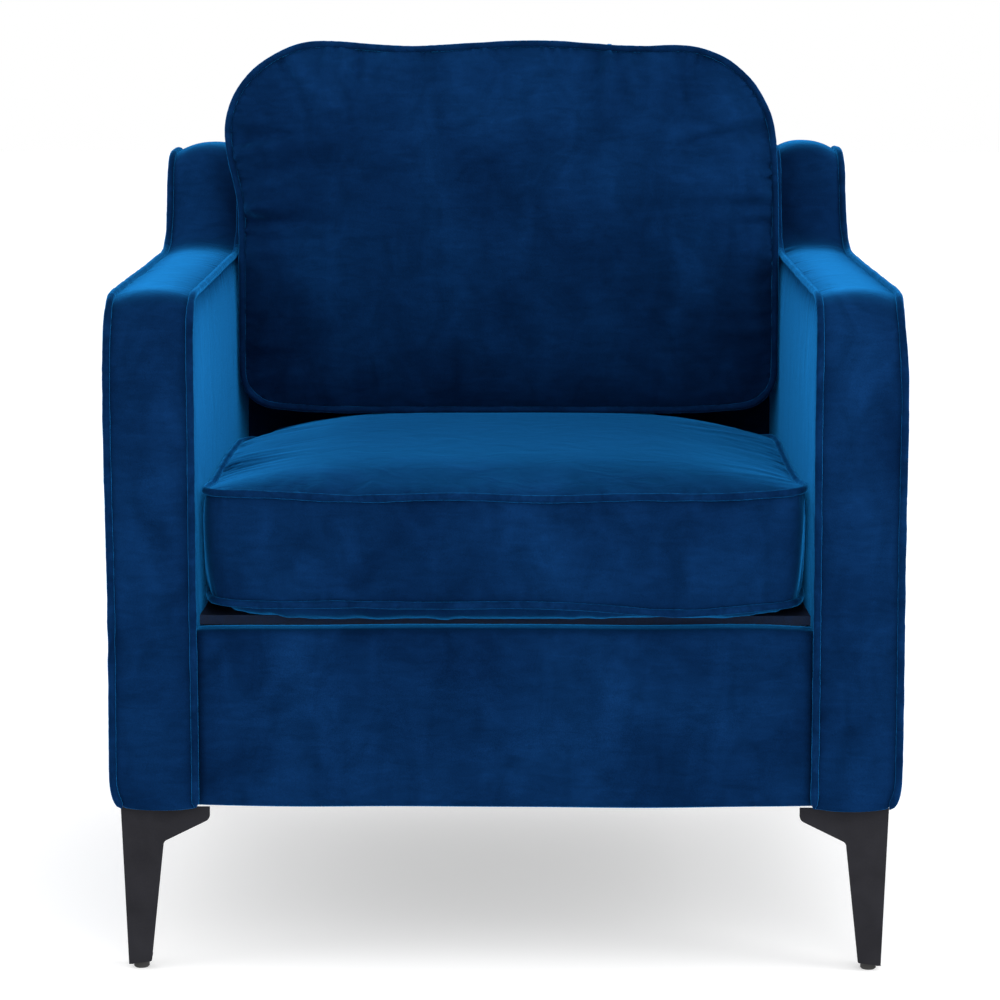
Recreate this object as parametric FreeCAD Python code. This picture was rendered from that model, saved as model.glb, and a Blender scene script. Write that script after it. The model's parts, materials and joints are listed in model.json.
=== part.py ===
"""Upholstered armchair with stepped arms, two loose cushions and four sheet-metal legs.

Row frame: millimetres, +Z up, origin on the floor under the middle of the chair.
The chair faces -Y. Left and right are as seen from the front, so left is -X.
Every sub-part is written to parts/NODE.step as one or more closed solids.
"""

import FreeCAD
import Part

import math
import os

V = FreeCAD.Vector

# Overall size of the upholstered carcass
HALF_WIDTH = 366.0          # outer skin of the arms
HALF_SEAT = 290.0           # inner skin of the arms
FRONT = -366.0              # front skin of the arms
REAR = 366.0                # rear skin of the arms
BASE_Z = 160.0              # underside of the arms, on top of the legs
ARM_Z = 643.0               # top of the arms
SHOULDER_Z = 750.0          # top of the raised shoulders
STEP_Y = 206.0              # where the arm's top meets the shoulder
STEP_LEAN = 16.0            # how far the shoulder's front edge leans back

# Layers of the upholstery
SKIN = 1.5                  # velvet cover
PAD = 12.0                  # foam wrapped round the arm frame
WELT_R = 3.5                # piping
GAP = 0.5                   # clearance between loose pieces

# Timber
BOARD = 22.0                # rails of the seat and the back
PLY = 6.0                   # side panels of the arms
ARM_BASE_H = 45.0           # base rail of an arm
POST = 40.0                 # posts and top rail of an arm

# Seat base
RAIL_Z0, RAIL_Z1 = 166.0, 322.0
RAIL_FRONT = -344.5         # front face of the front rail's timber
RAIL_REAR = 312.0           # rear face of the rear rail's timber
DECK_Z = 338.0              # top of the deck that the seat cushion lies on
SPRING_R = 1.9
SPRING_X = (-201.0, -67.0, 67.0, 201.0)

# Back
TILT = 5.0                  # recline of the back, in degrees
BACK_Y = 235.0              # front of the back at the height of the deck
BACK_Z0 = 340.0
BACK_CLEAR = 4.0            # how far its rear and top lie inside the arms' outline

# Seat cushion
CUSHION_HALF = 282.5        # half width, seam to seam
CUSHION_FRONT, CUSHION_REAR = -361.5, 226.0
SEAT_LEVELS = (DECK_Z + GAP, 357.0, 461.0, 477.5)   # underside, seam, seam, crown
SEAT_CROWN_IN = 45.0        # how far in from the seam the crown is flat
CORNER_R = 26.0

# Back cushion, before it is tilted with the back
BACK_CUSHION_Y = (234.0, 216.0, 80.0, 48.0)         # rear face, seam, seam, front face
BACK_CUSHION_TOP = 853.0
BACK_CUSHION_FOOT = 482.0   # its underside is level here once tilted
BACK_CUSHION_HALF = 282.0
EAR_R = 90.0                # round top corners
PLACKET_W, PLACKET_D = 32.0, 8.0   # channel in its underside that hides the zip

# Legs
LEG_X, LEG_Y = 362.0, 354.0  # outer corner of each leg
SHEET = 2.5
LEG_TOP_W = 84.0            # width of the leg's bracket under the frame
LEG_NECK_W = 40.0           # width where the bracket ends
LEG_FOOT_IN, LEG_FOOT_W = 5.0, 26.5
GLIDE_R, GLIDE_H = 7.5, 8.5
SCREW_R, SCREW_HEAD_R, SCREW_LEN = 2.3, 4.5, 30.0
BOLT_R, BOLT_HEAD_R, BOLT_LEN = 4.0, 8.0, 68.0
HOLE_CLEAR = 0.3            # how much larger a drilled hole is than its screw


# ---------------------------------------------------------------- helpers

def box(x0, x1, y0, y1, z0, z1):
    return Part.makeBox(x1 - x0, y1 - y0, z1 - z0, V(x0, y0, z0))


def rod(radius, start, end):
    along = end - start
    return Part.makeCylinder(radius, along.Length, start, along)


def mirrored(shape, across_x):
    return shape.mirror(V(0, 0, 0), V(1, 0, 0) if across_x else V(0, 1, 0))


def drilled(shape, tools):
    for tool in tools:
        shape = shape.cut(tool)
    return shape


def inset(points, amounts):
    """A counter-clockwise polygon with each edge moved inwards by its own amount."""
    count = len(points)
    if not isinstance(amounts, (list, tuple)):
        amounts = [amounts] * count
    lines = []
    for i in range(count):
        (ax, ay), (bx, by) = points[i], points[(i + 1) % count]
        length = math.hypot(bx - ax, by - ay)
        dx, dy = (bx - ax) / length, (by - ay) / length
        lines.append((ax - dy * amounts[i], ay + dx * amounts[i], dx, dy))
    corners = []
    for i in range(count):
        px, py, dx, dy = lines[i - 1]
        qx, qy, ex, ey = lines[i]
        t = ((qx - px) * ey - (qy - py) * ex) / (dx * ey - dy * ex)
        corners.append((px + t * dx, py + t * dy))
    return corners


def inset_radii(points, radii, amount):
    """Corner radii of the inset outline: convex corners tighten and hollow ones open."""
    result = []
    for i, radius in enumerate(radii):
        (ax, ay), (bx, by) = points[i - 1], points[i]
        cx, cy = points[(i + 1) % len(points)]
        convex = (bx - ax) * (cy - by) - (by - ay) * (cx - bx) > 0
        result.append(max(radius - amount, 0.0) if convex else radius + amount)
    return result


def rounded_edges(points, radii, place, closed=True):
    """Lines and arcs round a polygon. place turns a 2-D point into a vector."""
    count = len(points)
    entries, exits, middles = [], [], []
    for i in range(count):
        corner = V(points[i][0], points[i][1], 0)
        before = V(points[i - 1][0], points[i - 1][1], 0) - corner
        after = V(points[(i + 1) % count][0], points[(i + 1) % count][1], 0) - corner
        before.normalize()
        after.normalize()
        half = before.getAngle(after) / 2
        back = radii[i] / math.tan(half)
        towards = before + after
        towards.normalize()
        entries.append(corner + before * back)
        exits.append(corner + after * back)
        middles.append(corner + towards * (radii[i] / math.sin(half) - radii[i]))
    edges = []
    for i in range(count):
        open_end = not closed and i in (0, count - 1)
        if radii[i] > 0 and not open_end:
            edges.append(Part.Arc(place(entries[i]), place(middles[i]), place(exits[i])).toShape())
        if closed or i < count - 1:
            following = (i + 1) % count
            start = exits[i] if not open_end else V(points[i][0], points[i][1], 0)
            last = not closed and following == count - 1
            end = V(points[following][0], points[following][1], 0) if last else entries[following]
            edges.append(Part.makeLine(place(start), place(end)))
    return edges


def side_place(x):
    return lambda p: V(x, p.x, p.y)


def level_place(z):
    return lambda p: V(p.x, p.y, z)


def upright_place(y):
    return lambda p: V(p.x, y, p.y)


def side_prism(points, radii, x0, x1):
    """A solid with this outline in the Y-Z plane, from x0 to x1."""
    wire = Part.Wire(rounded_edges(points, radii, side_place(x0)))
    return Part.Face(wire).extrude(V(x1 - x0, 0, 0))


def tube(edges, radius):
    """A round bar along a chain of tangent lines and arcs."""
    path = Part.Wire(edges)
    start, tangent = edges[0].valueAt(edges[0].FirstParameter), edges[0].tangentAt(edges[0].FirstParameter)
    ring = Part.Wire([Part.makeCircle(radius, start, tangent)])
    return path.makePipeShell([ring], True, False)


def lofted(wires):
    return Part.makeLoft(wires, True, True)


def save(name, shapes):
    """Writes one node from one or more closed solids."""
    solids = []
    for shape in shapes if isinstance(shapes, list) else [shapes]:
        solids += shape.Solids
    for solid in solids:
        if not solid.isValid() or solid.Volume <= 0:
            raise ValueError(f"{name} holds a bad solid")
    result = solids[0] if len(solids) == 1 else Part.makeCompound(solids)
    result.exportStep(f"parts/{name}.step")
    print(f"{name}: {len(solids)} solid(s), {sum(s.Volume for s in solids) / 1000:.1f} cm3")


# ---------------------------------------------------------------- fasteners

def leg_screw_places(side, end):
    return [V(side * x, end * y, BASE_Z - SHEET) for x in (311.0, 343.0) for y in (340.0, 300.0)]


def screw(place, clear=0.0):
    shank = rod(SCREW_R + clear, place, place + V(0, 0, SCREW_LEN))
    head = rod(SCREW_HEAD_R, place - V(0, 0, SHEET), place)
    return shank if clear else shank.fuse(head)


def all_leg_screws(clear=0.0):
    places = [p for s in (-1, 1) for e in (-1, 1) for p in leg_screw_places(s, e)]
    return [screw(p, clear) for p in places]


def bolt_places(side):
    """Inner end of each frame bolt: through the seat rails low down, and the back's stiles."""
    inner = HALF_SEAT - BOARD
    low = [V(side * inner, y, BASE_Z + 26.0) for y in (-235.0, 0.0, 235.0)]
    high = [V(side * inner, 332.0, z) for z in (430.0, 640.0)]
    return low + high


def bolt(place, side, clear=0.0):
    shank = rod(BOLT_R + clear, place, place + V(side * BOLT_LEN, 0, 0))
    head = rod(BOLT_HEAD_R, place - V(side * 5.0, 0, 0), place)
    return shank if clear else shank.fuse(head)


def all_bolts(clear=0.0):
    return [bolt(p, s, clear) for s in (-1, 1) for p in bolt_places(s)]


# ---------------------------------------------------------------- arms

ARM_POINTS = [
    (FRONT, BASE_Z), (REAR, BASE_Z), (REAR, SHOULDER_Z),
    (STEP_Y + STEP_LEAN, SHOULDER_Z), (STEP_Y, ARM_Z), (FRONT, ARM_Z),
]
ARM_RADII = [8.0, 8.0, 40.0, 30.0, 36.0, 28.0]


def arm_outline(amount, bottom):
    """The arm's side outline, moved in by one amount, and by another at the underside."""
    amounts = [bottom] + [amount] * (len(ARM_POINTS) - 1)
    radii = inset_radii(ARM_POINTS, ARM_RADII, amount)
    return inset(ARM_POINTS, amounts), radii


def arm_welt(x):
    """Piping up the front of the arm, over the step and the shoulder, and down the rear."""
    loop = ARM_POINTS[1:] + ARM_POINTS[:1]
    radii = ARM_RADII[1:] + ARM_RADII[:1]
    return tube(rounded_edges(loop, radii, side_place(x), closed=False), WELT_R)


def make_arm(side):
    """All the pieces of one arm, in a dict from name to shape."""
    name = "left" if side < 0 else "right"

    def prism(amount, bottom, x0, x1):
        points, radii = arm_outline(amount, bottom)
        return side_prism(points, radii, *sorted((side * x0, side * x1)))

    welts = {"inner": arm_welt(side * HALF_SEAT), "outer": arm_welt(side * HALF_WIDTH)}
    cuts = all_leg_screws(HOLE_CLEAR) + all_bolts(HOLE_CLEAR)
    depth = SKIN + PAD
    x_in, x_out = HALF_SEAT + depth, HALF_WIDTH - depth

    skin_outer = prism(0.0, 0.0, HALF_SEAT, HALF_WIDTH)
    skin_inner = prism(SKIN, SKIN, HALF_SEAT + SKIN, HALF_WIDTH - SKIN)
    cavity = prism(depth, SKIN, x_in, x_out)
    cover = drilled(skin_outer.cut(skin_inner), list(welts.values()) + cuts)
    padding = drilled(skin_inner.cut(cavity), list(welts.values()) + cuts)

    base_top = BASE_Z + SKIN + ARM_BASE_H
    x0, x1 = sorted((side * x_in, side * x_out))
    below = box(x0, x1, FRONT, REAR, BASE_Z, base_top)
    above = cavity.cut(below)
    inner_face, outer_face = sorted((side * x_in, side * (x_in + PLY)))
    inner_panel = above.common(box(inner_face, outer_face, FRONT, REAR, BASE_Z, SHOULDER_Z))
    inner_face, outer_face = sorted((side * (x_out - PLY), side * x_out))
    outer_panel = above.common(box(inner_face, outer_face, FRONT, REAR, BASE_Z, SHOULDER_Z))

    core_x = sorted((side * (x_in + PLY), side * (x_out - PLY)))
    rail_z = ARM_Z - depth - POST
    front_post = above.common(box(*core_x, FRONT, FRONT + depth + POST, BASE_Z, rail_z))
    rear_post = above.common(box(*core_x, REAR - depth - POST, REAR, BASE_Z, SHOULDER_Z))
    arm_rail = above.common(box(*core_x, FRONT, STEP_Y + depth, rail_z, ARM_Z))

    return {
        f"{name}_arm_base_rail": drilled(cavity.common(below), cuts),
        f"{name}_arm_front_post": front_post,
        f"{name}_arm_rear_post": drilled(rear_post, cuts),
        f"{name}_arm_top_rail": arm_rail,
        f"{name}_arm_inner_panel": drilled(inner_panel, cuts),
        f"{name}_arm_outer_panel": outer_panel,
        f"{name}_arm_padding": padding,
        f"{name}_arm_cover": cover,
        f"{name}_arm_inner_welt": welts["inner"],
        f"{name}_arm_outer_welt": welts["outer"],
    }


# ---------------------------------------------------------------- seat base

def make_seat_box():
    """Four rails and four glued corner blocks."""
    inner = HALF_SEAT - BOARD
    cuts = all_bolts(HOLE_CLEAR)
    blocks = []
    leg = 60.0
    for side in (-1, 1):
        for y, inward in ((RAIL_FRONT + BOARD, 1), (RAIL_REAR - BOARD, -1)):
            corner = V(side * inner, y, RAIL_Z0 + 30.0)
            ring = [corner, corner - V(side * leg, 0, 0), corner + V(0, inward * leg, 0), corner]
            blocks.append(Part.Face(Part.makePolygon(ring)).extrude(V(0, 0, 90.0)))
    return {
        "seat_front_rail": box(-inner, inner, RAIL_FRONT, RAIL_FRONT + BOARD, RAIL_Z0, RAIL_Z1),
        "seat_rear_rail": box(-inner, inner, RAIL_REAR - BOARD, RAIL_REAR, RAIL_Z0, RAIL_Z1),
        "seat_left_rail": drilled(
            box(-HALF_SEAT, -inner, RAIL_FRONT, RAIL_REAR, RAIL_Z0, RAIL_Z1), cuts),
        "seat_right_rail": drilled(
            box(inner, HALF_SEAT, RAIL_FRONT, RAIL_REAR, RAIL_Z0, RAIL_Z1), cuts),
        "corner_blocks": blocks,
    }


def make_spring(x):
    """One sinuous spring: a zigzag wire from the front rail to the rear rail."""
    z = RAIL_Z1 + 1.0 + SPRING_R
    start, end = RAIL_FRONT + 9.0, RAIL_REAR - 9.0
    turns, reach = 28, 24.0
    pitch = (end - start) / turns
    bend = pitch / 2
    edges = []
    for i in range(turns + 1):
        y, way = start + i * pitch, 1 if i % 2 == 0 else -1
        edges.append(Part.makeLine(V(x - way * reach, y, z), V(x + way * reach, y, z)))
        if i < turns:
            turn = V(x + way * reach, y + bend, z)
            edges.append(Part.Arc(
                turn - V(0, bend, 0), turn + V(way * bend, 0, 0), turn + V(0, bend, 0)).toShape())
    return tube(edges, SPRING_R)


def make_spring_clips():
    """Folded steel clips that hold both ends of each spring on the rails."""
    clips = []
    z0, wire = RAIL_Z1, 2 * SPRING_R + 0.2
    for x in SPRING_X:
        for y, inward in ((RAIL_FRONT + 9.0, 1), (RAIL_REAR - 9.0, -1)):
            y0, y1 = sorted((y - inward * 6.0, y + inward * 8.0))
            strap = box(x - 8, x + 8, y0, y1, z0, z0 + 2.0 + wire)
            slot_y = sorted((y - inward * 4.0, y + inward * 9.0))
            slot = box(x - 9, x + 9, *slot_y, z0 + 0.9, z0 + 0.9 + wire + 0.1)
            clips.append(strap.cut(slot))
    return clips


def make_seat_upholstery():
    top_z = DECK_Z - 1.0
    skin_front = RAIL_FRONT - 10.0 - SKIN
    flange_rear = RAIL_FRONT + BOARD
    low = RAIL_Z0 - SKIN
    cover_outside = box(-HALF_SEAT, HALF_SEAT, skin_front, flange_rear, low, top_z)
    cover_inside = box(-HALF_SEAT, HALF_SEAT, skin_front + SKIN, flange_rear, RAIL_Z0, top_z - SKIN)
    clip_top = RAIL_Z1 + 7.0
    pad = cover_inside.cut(box(-HALF_SEAT, HALF_SEAT, RAIL_FRONT, flange_rear, RAIL_Z0, clip_top))
    return {
        "front_rail_cover": cover_outside.cut(cover_inside),
        "front_rail_padding": pad,
        "deck_pad": box(-HALF_SEAT + 1, HALF_SEAT - 1, flange_rear, BACK_Y - 4.0, clip_top, DECK_Z),
        "dust_cover": box(-HALF_SEAT + 1, HALF_SEAT - 1, flange_rear, RAIL_REAR, RAIL_Z0 - 1.0, RAIL_Z0),
    }


# ---------------------------------------------------------------- back

def leaning(offset0, offset1, z0, z1, x0, x1):
    """A slab parallel to the reclined front of the back."""
    slope = math.tan(math.radians(TILT))

    def y_at(z):
        return BACK_Y + (z - BACK_Z0) * slope

    points = [(y_at(z0) + offset0, z0), (y_at(z0) + offset1, z0),
              (y_at(z1) + offset1, z1), (y_at(z1) + offset0, z1)]
    return side_prism(points, [0.0] * 4, x0, x1)


def make_back():
    """The back's timber, webbing, padding and velvet, all between the two arms."""
    top, rear = SHOULDER_Z - BACK_CLEAR, REAR - BACK_CLEAR
    front_top = BACK_Y + (top - BACK_Z0) * math.tan(math.radians(TILT))
    outline = [
        (BACK_Y, BACK_Z0), (RAIL_REAR, BACK_Z0), (RAIL_REAR, RAIL_Z0 - SKIN),
        (rear, RAIL_Z0 - SKIN), (rear, top), (front_top, top),
    ]
    radii = [0.0, 0.0, 0.0, 0.0, ARM_RADII[2] - BACK_CLEAR, 12.0]
    inner = inset(outline, SKIN)
    inner_radii = inset_radii(outline, radii, SKIN)
    skin = side_prism(outline, radii, -HALF_SEAT, HALF_SEAT)
    hollow = side_prism(inner, inner_radii, -HALF_SEAT + SKIN, HALF_SEAT - SKIN)
    cuts = all_bolts(HOLE_CLEAR) + [bolt(p, s) for s in (-1, 1) for p in bolt_places(s)]

    foam, strap, timber = SKIN + PAD, SKIN + PAD + 2.0, SKIN + PAD + 2.0 + BOARD
    low, high = BACK_Z0 + SKIN, top - SKIN
    half = HALF_SEAT - SKIN
    stile_x = half - BOARD
    post_y = REAR - SKIN - PAD - POST
    stile = box(stile_x, half, post_y, rear - SKIN, low, high - 10.0).common(hollow)
    rails = {
        "back_top_rail": leaning(strap, timber, high - 70.0, high - 10.0, -half, half),
        "back_lower_rail": leaning(strap, timber, low, low + 60.0, -half, half),
    }
    straps = [leaning(foam, strap, low, high - 10.0, x - 25, x + 25) for x in (-180, -60, 60, 180)]
    pieces = {
        "back_left_stile": drilled(mirrored(stile, True), cuts + list(rails.values())),
        "back_right_stile": drilled(stile, cuts + list(rails.values())),
        "back_straps": straps,
        "back_padding": leaning(SKIN, foam, low + 1.0, high - 1.0, -half, half).common(hollow),
        "back_cover": drilled(skin.cut(hollow), cuts),
    }
    pieces.update(rails)
    return pieces


# ---------------------------------------------------------------- legs

def leg_outline(place):
    """Side view of a leg: a bracket under the frame that narrows to a tapered foot."""
    top = BASE_Z
    points = [
        (-2.0, top), (-2.0, 4.3), (LEG_FOOT_W, 8.0), (LEG_NECK_W, 126.0),
        (LEG_TOP_W, 148.0), (LEG_TOP_W, top),
    ]
    radii = [0.0, 0.0, 1.5, 6.0, 7.0, 0.0]
    return Part.Face(Part.Wire(rounded_edges(points, radii, place)))


def leg_wedge(amount):
    """The block inside a leg's two leaning outer faces, moved in by an amount."""
    rings = []
    for z, lean in ((BASE_Z, 0.0), (0.0, LEG_FOOT_IN)):
        x, y = LEG_X - lean - amount, -LEG_Y + lean + amount
        inner_x, inner_y = LEG_X - LEG_TOP_W, -LEG_Y + LEG_TOP_W
        ring = [V(inner_x, y, z), V(x, y, z), V(x, inner_y, z), V(inner_x, inner_y, z)]
        rings.append(Part.makePolygon(ring + ring[:1]))
    return Part.makeLoft(rings, True, True)


def make_leg(side, end):
    """A folded sheet-steel leg: two flanges, a screw plate on top and a foot plate."""
    shell = leg_wedge(0.0).cut(leg_wedge(SHEET))
    facing = leg_outline(lambda p: V(LEG_X - p.x, -LEG_Y - 1, p.y)).extrude(V(0, 10, 0))
    flank = leg_outline(lambda p: V(LEG_X + 1, -LEG_Y + p.x, p.y)).extrude(V(-10, 0, 0))
    plate = box(LEG_X - 66, LEG_X - 1, -LEG_Y + 1, -LEG_Y + 66, BASE_Z - SHEET, BASE_Z)
    out, reach = LEG_FOOT_IN + 0.5, LEG_FOOT_W - 1.0
    foot = box(LEG_X - reach, LEG_X - out, -LEG_Y + out, -LEG_Y + reach, GLIDE_H, GLIDE_H + SHEET)
    leg = shell.common(facing.fuse(flank)).fuse([plate, foot]).removeSplitter()
    holes = [screw(p, HOLE_CLEAR + 0.2) for p in leg_screw_places(1, -1)]
    middle = glide_place(1, -1)
    holes.append(rod(3.0, middle, middle + V(0, 0, 20)))
    leg = drilled(leg, holes)
    if side < 0:
        leg = mirrored(leg, True)
    if end > 0:
        leg = mirrored(leg, False)
    return leg


def glide_place(side, end):
    middle = (LEG_FOOT_IN + LEG_FOOT_W) / 2
    return V(side * (LEG_X - middle), end * (LEG_Y - middle), 0)


def make_glides():
    """Rubber feet: a round pad with a barbed stem pushed through each foot plate."""
    glides = []
    for side in (-1, 1):
        for end in (-1, 1):
            place = glide_place(side, end)
            pad = rod(GLIDE_R, place, place + V(0, 0, GLIDE_H))
            pad = pad.makeChamfer(1.2, [e for e in pad.Edges if e.BoundBox.ZMax < 0.1])
            top = place + V(0, 0, GLIDE_H + SHEET)
            stem = rod(2.8, place + V(0, 0, GLIDE_H / 2), top)
            barb = Part.makeCone(4.2, 2.4, 4.0, top, V(0, 0, 1))
            glides.append(pad.fuse([stem, barb]))
    return glides


# ---------------------------------------------------------------- seat cushion

def seat_ring(amount, z):
    points = [
        (-CUSHION_HALF, CUSHION_FRONT), (CUSHION_HALF, CUSHION_FRONT),
        (CUSHION_HALF, CUSHION_REAR), (-CUSHION_HALF, CUSHION_REAR),
    ]
    radius = max(CORNER_R - amount, 6.0)
    return rounded_edges(inset(points, amount), [radius] * 4, level_place(z))


def make_seat_cushion():
    low, seam0, seam1, crown = SEAT_LEVELS
    outer = lofted([Part.Wire(seat_ring(a, z)) for a, z in (
        (SEAT_CROWN_IN, low), (0.0, seam0), (0.0, seam1), (SEAT_CROWN_IN, crown))])
    inner = lofted([Part.Wire(seat_ring(a, z)) for a, z in (
        (SEAT_CROWN_IN + 1, low + SKIN), (SKIN, seam0 + 1), (SKIN, seam1 - 1),
        (SEAT_CROWN_IN + 1, crown - SKIN))])
    welts = [tube(seat_ring(0.0, z), WELT_R) for z in (seam0, seam1)]
    z_mid, rear = (seam0 + seam1) / 2, CUSHION_REAR
    tape = box(-250, 250, rear, rear + 0.8, z_mid - 12, z_mid + 12)
    chain = box(-250, 250, rear + 0.8, rear + 2.4, z_mid - 2.5, z_mid + 2.5)
    return {
        "seat_cushion_foam": drilled(inner, welts),
        "seat_cushion_cover": drilled(outer.cut(inner), welts),
        "seat_cushion_bottom_welt": welts[0],
        "seat_cushion_top_welt": welts[1],
        "seat_cushion_zipper": tape.fuse(chain),
        "seat_zip_slider": zip_slider().translated(V(-242, rear + 0.8, z_mid)),
    }


def zip_slider():
    """A zip slider that straddles the chain on the Y = 0 plane, facing +Y, with its pull."""
    body = box(-6, 6, 0.3, 4.6, -5, 5)
    channel = box(-7, 7, -1, 2.0, -2.9, 2.9)
    bridge = box(-3, 3, 4.6, 5.6, -1.5, 1.5)
    pull = box(-1, 22, 5.6, 6.8, -3, 3)
    hole = rod(1.4, V(18, 5, 0), V(18, 8, 0))
    return body.cut(channel).fuse([bridge, pull]).cut(hole)


# ---------------------------------------------------------------- back cushion

def back_ring(amount, y):
    """The cushion's outline at one depth, with a foot that is level once the cushion is tilted."""
    half, lean = BACK_CUSHION_HALF, math.radians(TILT)
    rise = BACK_CUSHION_FOOT - BACK_Z0 - (BACK_Y - y) * math.sin(lean)
    foot = BACK_Z0 + rise / math.cos(lean)
    points = [(-half, foot), (half, foot), (half, BACK_CUSHION_TOP), (-half, BACK_CUSHION_TOP)]
    radii = [max(r - amount, 6.0) for r in (20.0, 20.0, EAR_R, EAR_R)]
    return rounded_edges(inset(points, amount), radii, upright_place(y))


def tilted(shape):
    """Leans a shape back with the back, about the line where the back meets the deck."""
    shape = shape.copy()
    shape.rotate(V(0, BACK_Y, BACK_Z0), V(1, 0, 0), -TILT)
    return shape


def make_back_cushion():
    rear, seam0, seam1, face = BACK_CUSHION_Y
    outer = tilted(lofted([Part.Wire(back_ring(a, y)) for a, y in (
        (40.0, rear), (0.0, seam0), (0.0, seam1), (50.0, face))]))
    inner = tilted(lofted([Part.Wire(back_ring(a, y)) for a, y in (
        (41.5, rear - SKIN), (SKIN, seam0 - 1.2), (SKIN, seam1 + 1.2), (51.5, face + SKIN))]))
    welts = [tilted(tube(back_ring(0.0, y), WELT_R)) for y in (seam0, seam1)]

    foot, zip_half = BACK_CUSHION_FOOT, 230.0
    y_mid, roof = BACK_Y - 92.0, foot + PLACKET_D
    reach = zip_half + 12.0
    placket = box(-reach, reach, y_mid - PLACKET_W / 2, y_mid + PLACKET_W / 2, foot - 20.0, roof)
    lining = box(-reach - SKIN, reach + SKIN, y_mid - PLACKET_W / 2 - SKIN,
                 y_mid + PLACKET_W / 2 + SKIN, foot - 20.0, roof + SKIN)
    fill = inner.cut(lining)
    cover = outer.cut(placket).cut(fill)
    tape = box(-zip_half, zip_half, y_mid - 12, y_mid + 12, roof - 0.8, roof)
    chain = box(-zip_half, zip_half, y_mid - 2.5, y_mid + 2.5, roof - 2.4, roof - 0.8)
    slider = zip_slider()
    slider.rotate(V(0, 0, 0), V(1, 0, 0), -90)
    return {
        "back_cushion_fill": drilled(fill, welts),
        "back_cushion_cover": drilled(cover, welts),
        "back_cushion_rear_welt": welts[0],
        "back_cushion_front_welt": welts[1],
        "back_cushion_zipper": tape.fuse(chain),
        "back_zip_slider": slider.translated(V(8.0 - zip_half, y_mid, roof - 0.8)),
    }


# ---------------------------------------------------------------- write everything

def main():
    os.makedirs("parts", exist_ok=True)
    pieces = {}
    for side in (-1, 1):
        pieces.update(make_arm(side))
    pieces.update(make_seat_box())
    pieces["seat_springs"] = [make_spring(x) for x in SPRING_X]
    pieces["spring_clips"] = make_spring_clips()
    pieces.update(make_seat_upholstery())
    pieces.update(make_back())
    for side, side_name in ((-1, "left"), (1, "right")):
        for end, end_name in ((-1, "front"), (1, "rear")):
            pieces[f"{end_name}_{side_name}_leg"] = make_leg(side, end)
    pieces["glides"] = make_glides()
    pieces["leg_screws"] = all_leg_screws()
    pieces["frame_bolts"] = all_bolts()
    pieces.update(make_seat_cushion())
    pieces.update(make_back_cushion())
    for name, shapes in pieces.items():
        save(name, shapes)
    print(len(pieces), "nodes")


main()
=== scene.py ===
"""Looks of the upholstered armchair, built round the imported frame. Metres, +Z up, the chair faces -Y."""

import json
import math

import bpy
import numpy as np
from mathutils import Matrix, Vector
from mathutils.geometry import delaunay_2d_cdt
from mathutils.kdtree import KDTree


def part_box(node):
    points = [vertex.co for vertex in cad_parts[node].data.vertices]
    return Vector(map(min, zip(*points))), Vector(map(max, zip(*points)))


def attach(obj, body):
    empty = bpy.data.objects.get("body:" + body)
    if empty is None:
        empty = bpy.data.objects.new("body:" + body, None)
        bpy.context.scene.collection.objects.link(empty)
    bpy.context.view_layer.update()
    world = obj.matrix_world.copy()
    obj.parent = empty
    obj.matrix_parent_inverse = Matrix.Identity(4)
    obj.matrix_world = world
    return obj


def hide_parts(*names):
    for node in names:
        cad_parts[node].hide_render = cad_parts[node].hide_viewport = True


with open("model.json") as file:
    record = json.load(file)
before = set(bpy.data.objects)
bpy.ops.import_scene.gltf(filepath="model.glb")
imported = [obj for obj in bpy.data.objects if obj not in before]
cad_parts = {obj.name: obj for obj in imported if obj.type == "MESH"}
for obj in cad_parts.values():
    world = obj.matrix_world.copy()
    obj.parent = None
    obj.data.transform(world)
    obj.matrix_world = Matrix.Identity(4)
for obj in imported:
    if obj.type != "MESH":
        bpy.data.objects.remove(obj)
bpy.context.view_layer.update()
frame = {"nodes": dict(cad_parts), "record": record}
NODES = frame["nodes"]

# Camera: a long lens a little above the chair, tilted down
CAMERA_DISTANCE = 3.150        # from the fronts of the arms
CAMERA_HEIGHT = 0.9456
CAMERA_SIDE = 0.025
CAMERA_TURN = math.radians(0.53)
CAMERA_PITCH = math.radians(8.85)
CAMERA_LENS = 124.0

# Upholstery
WELT_R = 0.0036                # of the visible piping
CAD_WELT_R = 0.0035            # of the CAD welts that it replaces
WELT_IN = 0.0025               # how far the arms' seams lie inside their bulging sides
ARM_STEP_LEAN = 0.016          # how far the shoulder's front leans back over its height
ARM_RADII = (0.005, 0.005, 0.042, 0.030, 0.064, 0.044)
SEAM_INSET = 0.0045            # how far the arms' seams lie inside their crowned strip
OUTER_BULGE = {-1: 0.0045, 1: 0.0068}
SPLAY = {-1: (0.0024, 0.0010), 1: (0.0045, -0.0065)}     # of the outer seam, front and rear
CORNER_TUCK = {-1: 0.0010, 1: 0.0055}                    # of that seam at the top of the front
SHOULDER_DROP = {-1: 0.0020, 1: 0.0}
ARM_PIPING_OUT = 0.0016        # how far the piping stands out from its seam
CUSHION_PIPING_OUT = 0.0018
CUSHION_PIPING_LIFT = 0.0006   # and out along the panel's normal
CORD_SEGMENTS = 12
RAIL_TOP_DROP = 0.0085         # of the front rail's top and underside below its CAD cover's
RAIL_FOOT_DROP = 0.0030
RAIL_RADII = (0.002, 0.003, 0.003, 0.010)
BACK_RADII = (0.003, 0.003, 0.003, 0.006, 0.036, 0.014)
BLOCK_GAP = 0.0005             # between a padded block and the arms beside it
BLOCK_REACH = 0.05             # over which a block swells in from its ends
SEAT_RADII = (0.026, 0.026, 0.034, 0.034)
BACK_CUSHION_RADII = (0.034, 0.034, 0.104, 0.086)
CUSHION_SPACING = 0.009        # between the points of a cushion's panels
OUTLINE_SPACING = 0.005
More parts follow.
